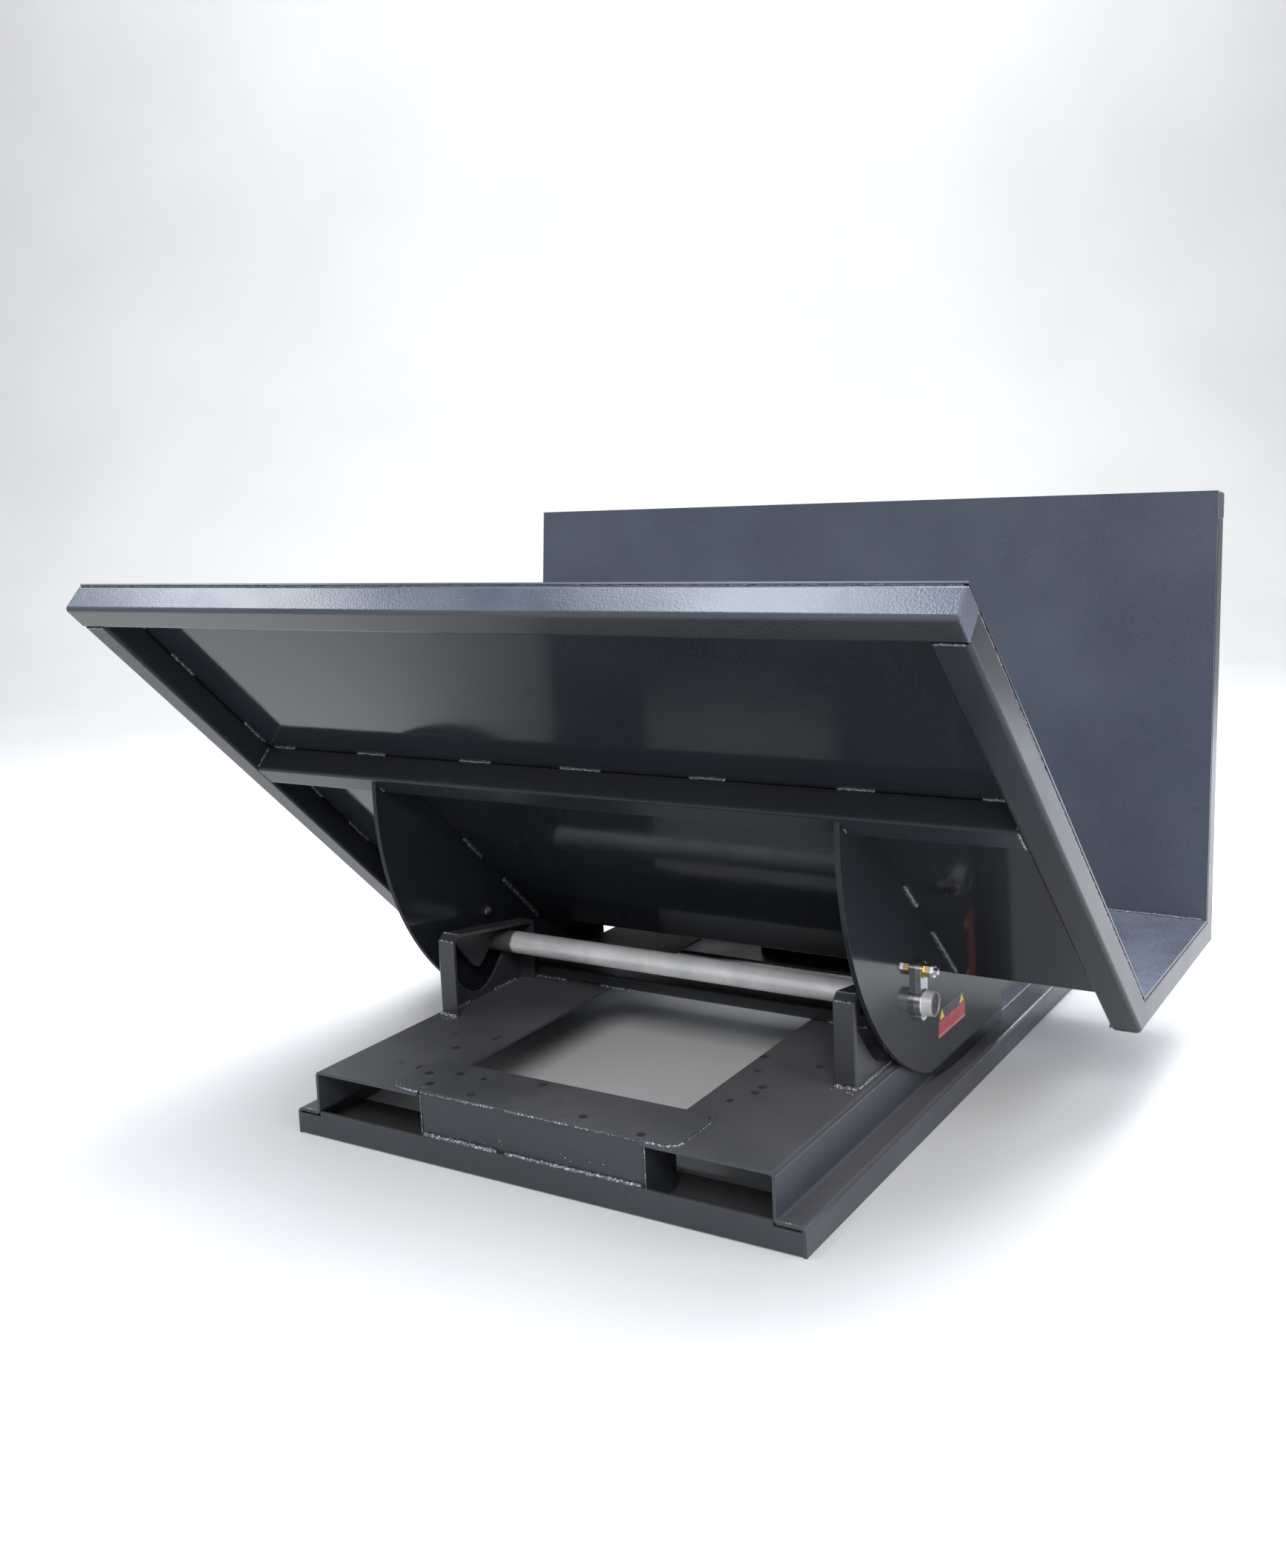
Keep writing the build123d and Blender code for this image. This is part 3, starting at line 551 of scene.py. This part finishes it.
# --- tray: top tubes, floor tube, uprights and back ribs
runs = []
for x0 in range(-640, 700, 235):
    for q in (off1(TUBE + 0.4, SHEET + 0.8), off3(L3 - TUBE - 0.4, SHEET + 0.8), off2(L2 + SHEET - TUBE - 0.4, SHEET + 0.8)):
        runs.append((line(x0, q, x0 + 66, q), 2.8))
for s in (BACK_RIB_D - 0.4, BACK_RIB_D + TUBE + 0.4):
    for x0, x1 in ((-650, -585), (-460, -400), (-120, -50), (60, 130), (400, 460), (585, 650)):
        runs.append((line(x0, off3(s, SHEET + 0.8), x1, off3(s, SHEET + 0.8)), 2.8))
for sx in (-1, 1):
    for dx in (-TUBE / 2 - 0.4, TUBE / 2 + 0.4):
        x = sx * UPRIGHT_X + dx
        for s0, s1 in ((30, 95), (190, 255), (520, 585), (680, 740)):
            runs.append((line(x, off3(s0, SHEET + 0.8), x, off3(s1, SHEET + 0.8)), 2.8))
        runs.append((line(x, off3(BACK_RIB_D + 4, OUT - 1.5), x, off3(BACK_RIB_D + TUBE - 4, OUT - 1.5)), 2.2))
    runs.append((line(sx * (UPRIGHT_X - 20), off3(L3 - TUBE - 1, OUT - 3.0), sx * (UPRIGHT_X + 20), off3(L3 - TUBE - 1, OUT - 3.0)), 2.4))
    x = sx * X_IN
    runs.append((line(x, off3(BACK_RIB_D + 4, OUT - 1.5), x, off3(BACK_RIB_D + TUBE - 4, OUT - 1.5)), 2.2))
welds("back_weld_beads", runs, "tray")

# --- rockers to the tray, stitched on the outside and the inside
runs = []
for sx in (-1, 1):
    for x in (451.9, 442.1):
        for s0, s1 in ((RIB_D + 288, RIB_D + 360), (RIB_D + 446, L1 - 8), (RIB_D + TUBE + 14, RIB_D + TUBE + 76)):
            runs.append((line(sx * x, off1(s0, SHEET + 1.4), sx * x, off1(s1, SHEET + 1.4)), 4.4, {"pitch": 5.5, "lump": 0.26}))
        for s0, s1 in ((10, 70), (140, 205)):
            runs.append((line(sx * x, off2(s0, SHEET + 1.0), sx * x, off2(s1, SHEET + 1.0)), 3.1))
        runs.append((line(sx * x, off1(RIB_D + 30, OUT + 0.6), sx * x, off1(RIB_D + TUBE - 8, OUT + 0.6)), 1.9))
    # latch ears to the back wall
    for dx in (13.4, 20.6):
        runs.append((line(sx * dx, off3(8, SHEET + 0.8), sx * dx, off3(68, SHEET + 0.8)), 2.3))
welds("rocker_weld_beads", runs, "tray")

# --- pivot bar to its lugs: a ring on the outside of each
runs = []
pin = [(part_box("pivot_bar")[0][i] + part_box("pivot_bar")[1][i]) / 2 for i in range(3)]
PY, PZ = (pin[1] - FRONT_Y) * 1000, pin[2] * 1000
for sx in (-1, 1):
    ring = [(sx * 461.6, PY + 21.9 * math.cos(t), PZ + 21.9 * math.sin(t)) for t in [2 * math.pi * i / 48 for i in range(49)]]
    runs.append((ring, 1.5, {"pitch": 3.0}))
bm = bmesh.new()
for i, r_ in enumerate(runs):
    add_bead(bm, r_[0], r_[1], 40 + i, **r_[2])
piece("bar_lug_weld_beads", bm, M["lug"], "tray")

# --- base: stanchion feet and corners
runs, drops = [], []
for sx in (-1, 1):
    z = DECK_Z + 0.6
    runs.append(([(sx * 379, 316.2, z), (sx * 419, 316.2, z)], 4.2, {"pitch": 5.5, "lump": 0.3}))
    runs.append(([(sx * 418.6, 322, z), (sx * 418.6, 562, z)], 3.2, {"pitch": 4.5}))
    runs.append(([(sx * 379, 565.8, z), (sx * 419, 565.8, z)], 3.6, {"pitch": 5, "lump": 0.25}))
    for s0, s1 in ((330, 395), (470, 540)):
        runs.append(([(sx * 411.6, s0, z), (sx * 411.6, s1, z)], 2.8))
    # corner where the front flange meets the top flange
    runs.append(([(sx * 381, 317.4, 258.2), (sx * 414, 317.4, 258.2)], 1.7, {"pitch": 3.4, "lump": 0.3}))
    runs.append(([(sx * 381, 330.6, 269.2), (sx * 414, 330.6, 269.2)], 1.5, {"pitch": 3.4, "lump": 0.3}))
    for _ in range(9):
        drops.append(((sx * rng.uniform(372, 428), rng.uniform(296, 314), DECK_Z + 0.2), rng.uniform(0.7, 1.5)))
welds("stanchion_weld_beads", runs, "base", drops)

# --- base: bridges, lips and cross tube; the rear end repeats the front
runs, drops = [], []


def both(pts, r, kw=None):
    runs.append((pts, r, kw or {}))
    runs.append(([(x, BASE_LEN - y, z) for x, y, z in pts], r, kw or {}))


zb = DECK_Z + 0.8
both([(-206, 7.2, 7.5), (206, 7.2, 7.5)], 4.0, {"pitch": 5.0, "lump": 0.3})
both([(-208, 5.6, 45.6), (-60, 5.4, 45.9)], 3.7, {"pitch": 6.0, "lump": 0.42})
both([(-44, 5.6, 45.6), (208, 5.6, 45.6)], 3.4, {"pitch": 6.0, "lump": 0.42})
both([(-212.5, 7.6, 117.0), (-60, 6.6, 117.2)], 2.6, {"pitch": 5.0, "lump": 0.42})
both([(-40, 6.6, 117.2), (212.5, 7.6, 117.0)], 2.4, {"pitch": 5.0, "lump": 0.42})
for sx in (-1, 1):
    arc = [(sx * (248 + 24 * math.sin(t)), 29 - 24 * math.cos(t), zb) for t in [math.pi / 2 * i / 8 for i in range(9)]]
    both([(sx * 214, 4.8, zb)] + arc, 2.3, {"pitch": 4.0, "lump": 0.3})
    back = [(sx * (248 + 24 * math.cos(t)), 104 + 24 * math.sin(t), zb) for t in [math.pi / 2 * i / 8 for i in range(9)]]
    both([(sx * 272.2, 31, zb)] + back + [(sx * 214, 128.4, zb)], 1.4, {"pitch": 4.0})
    both([(sx * 213.3, 9.6, 12), (sx * 213.3, 9.6, 112)], 1.1)
    # lip to the side channel's wall and outer lip
    both([(sx * 434.2, 3.0, 44.0), (sx * 430, 3.0, 43.2)], 1.8)
    both([(sx * 436, 3.0, 43.8), (sx * 470, 3.0, 43.8)], 1.7, {"lump": 0.3})
    both([(sx * 475.6, 3.0, 8), (sx * 475.6, 3.0, 34)], 1.7, {"lump": 0.3})
for x0 in range(-395, 380, 160):
    for y in (576.4, 652.6):
        if abs(x0 + 40) > 190:
            runs.append(([(x0, y, zb), (x0 + 80, y, zb)], 2.8, {"pitch": 4.5}))
for sx in (-1, 1):
    runs.append(([(sx * 410.6, 580, zb), (sx * 410.6, 649, zb)], 2.8, {"pitch": 4.5}))
    runs.append(([(sx * 23.4, 1189, 121.2), (sx * 23.4, 1221, 121.2)], 2.4))
    runs.append(([(sx * 32.6, 1189, 121.2), (sx * 32.6, 1221, 121.2)], 2.4))
for _ in range(26):
    drops.append(((rng.uniform(-200, 205), 8.0, rng.uniform(48, 66)), rng.uniform(0.6, 1.3)))
for _ in range(12):
    drops.append(((rng.uniform(-262, -205), rng.uniform(8, 22), DECK_Z + 4.1), rng.uniform(0.6, 1.2)))
welds("base_weld_beads", runs, "base", drops)


# --- lug bolts with rolled thread and a chamfered hexagon head, in place of the plain ones
def bolt_mesh(bm, sx, y, z, x_head, x_face, x_end, r=6.0, pitch=1.75):
    def ring(x, rad, n=28, hexed=False):
        out = []
        for i in range(n):
            t = 2 * math.pi * i / n
            q = rad
            if hexed:
                k = (t + math.pi / 6) % (math.pi / 3) - math.pi / 6
                q = rad / math.cos(k)
            out.append(bm.verts.new(W(sx * x, y + q * math.cos(t), z + q * math.sin(t))))
        return out

    prof = [(x_head, 7.6, False), (x_head + 0.05, 8.6, False), (x_head + 1.0, 9.45, True), (x_face, 9.45, True), (x_face + 0.01, r, False)]
    x = x_face + 9.0
    prof.append((x, r, False))
    while x < x_end - 1.4:
        prof += [(x + pitch * 0.30, r - 0.95, False), (x + pitch * 0.55, r - 0.95, False), (x + pitch * 0.90, r - 0.02, False)]
        x += pitch
    prof += [(x_end - 1.0, r - 0.5, False), (x_end, r - 1.3, False)]
    prev = None
    for px, rad, hx in prof:
        cur = ring(px, rad, 36, hx)
        if prev is None:
            bm.faces.new(cur)
        else:
            for i in range(36):
                bm.faces.new((prev[i], prev[(i + 1) % 36], cur[(i + 1) % 36], cur[i]))
        prev = cur
    bm.faces.new(list(reversed(prev)))


lo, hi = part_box("lug_bolts")
BY, BZ = ((lo[1] + hi[1]) / 2 - FRONT_Y) * 1000, (lo[2] + hi[2]) / 2 * 1000
bm = bmesh.new()
for sx in (-1, 1):
    bolt_mesh(bm, sx, BY, BZ, 435.5, 443.0, hi[0] * 1000)
threaded = piece("threaded_lug_bolts", bm, M["bolt"], "tray", smooth=False)
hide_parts("lug_bolts")

# ------------------------------------------------------------ floor, light, camera
def cyclorama():
    bm = bmesh.new()
    prof = [(-45.0, 0.0), (5.0, 0.0)]
    prof += [(5.0 + 3.0 * math.sin(t), 3.0 - 3.0 * math.cos(t)) for t in [math.pi / 2 * i / 16 for i in range(1, 17)]]
    prof.append((8.0, 30.0))
    ang = math.radians(32)
    rows = []
    for d, h in prof:
        row = []
        for s in (-45.0, 45.0):
            row.append(bm.verts.new((s * math.cos(ang) - d * math.sin(ang), s * math.sin(ang) + d * math.cos(ang), h - 0.0006)))
        rows.append(row)
    for A, B in zip(rows, rows[1:]):
        bm.faces.new((A[0], A[1], B[1], B[0]))
    me = bpy.data.meshes.new("studio_floor")
    bm.to_mesh(me)
    bm.free()
    for f in me.polygons:
        f.use_smooth = True
    ob = bpy.data.objects.new("studio_floor", me)
    bpy.context.scene.collection.objects.link(ob)
    m = Mat("studio_floor_pale")
    c = m.mix(m.ramp(m.noise(0.8, 3), 0.3, 0.7), (0.70, 0.70, 0.705), (0.74, 0.74, 0.745))
    m.l(c, m.p.inputs["Base Color"])
    m.p.inputs["Roughness"].default_value = 0.85
    m.p.inputs["Specular IOR Level"].default_value = 0.1
    me.materials.append(m.m)


cyclorama()


def area(name, loc, target, size, power, color=(1, 1, 1)):
    L = bpy.data.lights.new(name, "AREA")
    L.shape = "RECTANGLE"
    L.size, L.size_y = size
    L.energy = power
    L.color = color
    o = bpy.data.objects.new(name, L)
    o.location = loc
    o.rotation_mode = "QUATERNION"
    o.rotation_quaternion = (Vector(target) - Vector(loc)).to_track_quat("-Z", "Y")
    bpy.context.scene.collection.objects.link(o)
    return o


area("overhead", (0.6, 0.9, 4.4), (0.1, 0.1, 0), (3.4, 3.0), 290, (0.95, 0.975, 1.0))
area("ceiling_strip_right", (-1.35, -1.25, 4.5), (-0.6, -1.0, 0), (2.3, 1.1), 82, (0.86, 0.93, 1.0))
area("ceiling_strip_left", (-3.9, -1.2, 4.2), (-0.9, -0.8, 0.6), (2.0, 1.0), 50, (0.90, 0.95, 1.0))
area("front_soft", (2.4, -4.5, 3.9), (0.0, -0.2, 0.2), (2.8, 1.6), 190, (1.0, 1.0, 1.0))
area("right_soft", (4.6, 0.2, 2.5), (0.5, 0, 0.4), (4.2, 3.0), 118, (0.98, 0.99, 1.0))
area("rear_right_strip", (2.45, 4.0, 1.75), (0.5, 0.3, 0.1), (1.3, 0.8), 105, (0.78, 0.87, 1.0))
area("backdrop_wash", (-2.2, 4.2, 6.2), (-4.0, 6.6, 1.0), (7.0, 1.6), 250, (1.0, 1.0, 1.0))

world = bpy.data.worlds.new("studio")
bpy.context.scene.world = world
world.use_nodes = True
world.node_tree.nodes["Background"].inputs[0].default_value = (0.93, 0.96, 1.0, 1)
world.node_tree.nodes["Background"].inputs[1].default_value = 0.36

bpy.context.scene.view_settings.view_transform = "Standard"

cam = bpy.data.cameras.new("photo_view")
cam.sensor_fit = "AUTO"
cam.sensor_width = 36.0
cam.lens = 2084.649 * 36.0 / 2117.0
cam.shift_x = 0.0
cam.shift_y = -(1058.5 - 926.27) / 2117.0
cam.clip_start, cam.clip_end = 0.05, 60
cam_ob = bpy.data.objects.new("photo_view", cam)
bpy.context.scene.collection.objects.link(cam_ob)
yaw, pitch, roll = math.radians(32.0628), math.radians(7.4842), math.radians(-2.4710)
F = Vector((-math.sin(yaw) * math.cos(pitch), math.cos(yaw) * math.cos(pitch), -math.sin(pitch)))
R = Vector((math.cos(yaw), math.sin(yaw), 0))
U = R.cross(F)
R2 = R * math.cos(roll) + U * math.sin(roll)
U2 = -R * math.sin(roll) + U * math.cos(roll)
mat = Matrix((R2, U2, -F)).transposed().to_4x4()
mat.translation = Vector((1.388894, -1.814735 + FRONT_Y, 1.077188))
cam_ob.matrix_world = mat
bpy.context.scene.camera = cam_ob
